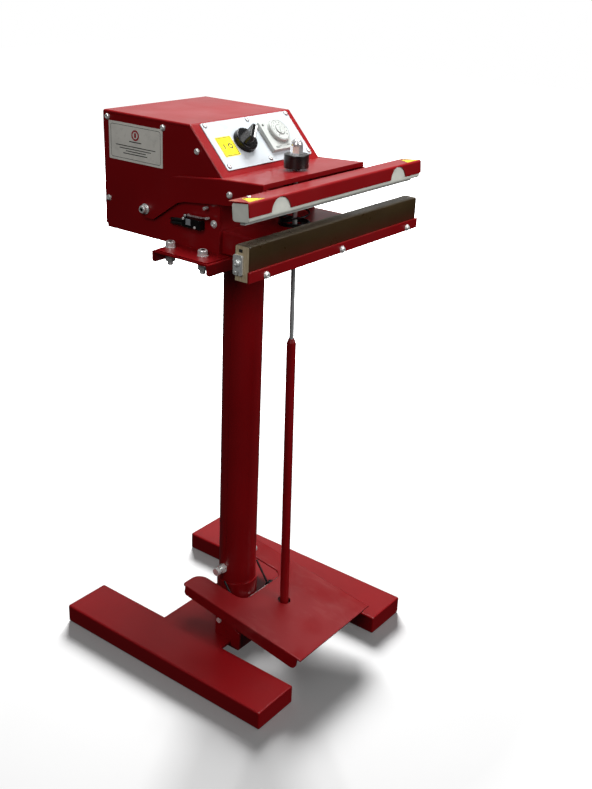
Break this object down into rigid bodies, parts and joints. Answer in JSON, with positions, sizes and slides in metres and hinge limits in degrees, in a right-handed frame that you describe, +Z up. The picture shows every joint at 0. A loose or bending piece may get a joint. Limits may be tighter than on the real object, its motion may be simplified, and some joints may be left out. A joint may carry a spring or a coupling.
{
  "type": "impulse heat sealer",
  "caption": "Floor-standing impulse heat sealer with a foot pedal, a hinged upper jaw, a heated lower jaw and a control housing on a column.",
  "frame": {"origin": "on the floor under the column's axis, at the middle of the floor frame", "axes": "+Z up; +X along the jaws, to the operator's right; -Y towards the operator"},
  "size_m": [0.482, 0.491, 1],
  "materials": {
    "red_paint": "semi-gloss powder coat",
    "white_panel": "satin",
    "zinc": "zinc plated",
    "bright_steel": "turned bar",
    "chrome_cap": "polished",
    "black_steel": "black oxide",
    "black_plastic": "moulded",
    "black_rubber": "moulded",
    "timer_plastic": "moulded",
    "dial_plastic": "clear moulded",
    "grey_plastic": "moulded",
    "laminate": "resin laminate",
    "ptfe_cloth": "glass cloth, resin coated",
    "white_bar": "satin",
    "silicone": "cast",
    "ribbon": "rolled",
    "core_steel": "laminated",
    "coil": "enamelled wire"
  },
  "bodies": {
    "stand": {"base_bar_left": "red_paint", "base_bar_right": "red_paint", "base_end_caps": "red_paint", "base_crossbar": "red_paint", "cross_stiffeners": "red_paint", "column_collar": "red_paint", "column": "red_paint", "column_stub": "bright_steel", "clamp_nuts": "zinc", "clamp_bolts": "zinc", "pedal_ears": "red_paint", "pedal_pivot_pin": "zinc", "pedal_springs": "black_steel", "head_plate": "red_paint", "head_flanges": "red_paint", "bracket_bolts": "zinc", "bracket_nuts": "zinc", "side_plate_left": "red_paint", "side_plate_right": "red_paint", "housing_floor": "red_paint", "housing_front": "red_paint", "cover": "red_paint", "housing_screws": "zinc", "front_panel": "white_panel", "panel_screws": "zinc", "selector_switch": "grey_plastic", "timer_body": "timer_plastic", "transformer_core": "core_steel", "transformer_coil": "coil", "terminal_block": "grey_plastic", "cable_gland": "black_plastic", "pivot_bushes": "bright_steel", "pivot_bolts": "zinc", "platform": "red_paint", "lower_jaw_bar": "laminate", "heating_element": "ribbon", "ptfe_cover": "ptfe_cloth", "front_strip": "red_paint", "strip_screws": "zinc", "end_terminals": "zinc", "spring_seat": "zinc", "return_spring": "black_steel", "microswitch_body": "black_plastic"},
    "pedal": {"pedal_plate": "red_paint", "pedal_lugs": "red_paint"},
    "arm": {"arm_channel": "red_paint", "arm_side_screws": "zinc", "jaw_brackets": "red_paint", "upper_bar": "white_bar", "silicone_strip": "silicone", "upper_jaw_cover": "red_paint", "jaw_spacers": "zinc", "switch_striker": "zinc"},
    "rod": {"pull_rod": "bright_steel", "rod_tube": "red_paint", "rod_cap": "black_rubber", "rod_nuts": "chrome_cap"},
    "switch_lever": {"switch_lever": "bright_steel"},
    "selector": {"selector_knob": "black_plastic"},
    "dial": {"timer_dial": "dial_plastic"}
  },
  "joints": [
    {"name": "arm_pivot", "type": "hinge", "parent": "stand", "child": "arm", "pos_m": [0, 0.105, 0.85], "axis": [1, 0, 0], "range_deg": [0, 5.6], "stiffness_Nm_per_rad": 60, "springref_deg": -20.05, "deforming": ["return_spring"]},
    {"name": "pedal_pivot", "type": "hinge", "parent": "stand", "child": "pedal", "pos_m": [0, -0.046, 0.072], "axis": [1, 0, 0], "range_deg": [0, 15.7]},
    {"name": "rod_swivel", "type": "hinge", "parent": "arm", "child": "rod", "pos_m": [0, -0.1043, 0.931], "axis": [1, 0, 0], "range_deg": [-5.5, 0]},
    {"name": "switch_trip", "type": "hinge", "parent": "stand", "child": "switch_lever", "pos_m": [-0.1375, 0.009, 0.8575], "axis": [1, 0, 0], "range_deg": [0, 5]},
    {"name": "selector_turn", "type": "hinge", "parent": "stand", "child": "selector", "pos_m": [-0.035, -0.02037, 0.96592], "axis": [0, -0.7251, 0.6886], "range_deg": [0, 90]},
    {"name": "dial_turn", "type": "hinge", "parent": "stand", "child": "dial", "pos_m": [0.05, -0.0183, 0.96809], "axis": [0, -0.7251, 0.6886], "range_deg": [-120, 150]}
  ],
  "couplings": [
    {"joint": "pedal_pivot", "follows": "arm_pivot", "ratio": 2.794},
    {"joint": "rod_swivel", "follows": "arm_pivot", "ratio": -0.9624},
    {"joint": "switch_trip", "follows": "arm_pivot", "ratio": 0.85}
  ]
}
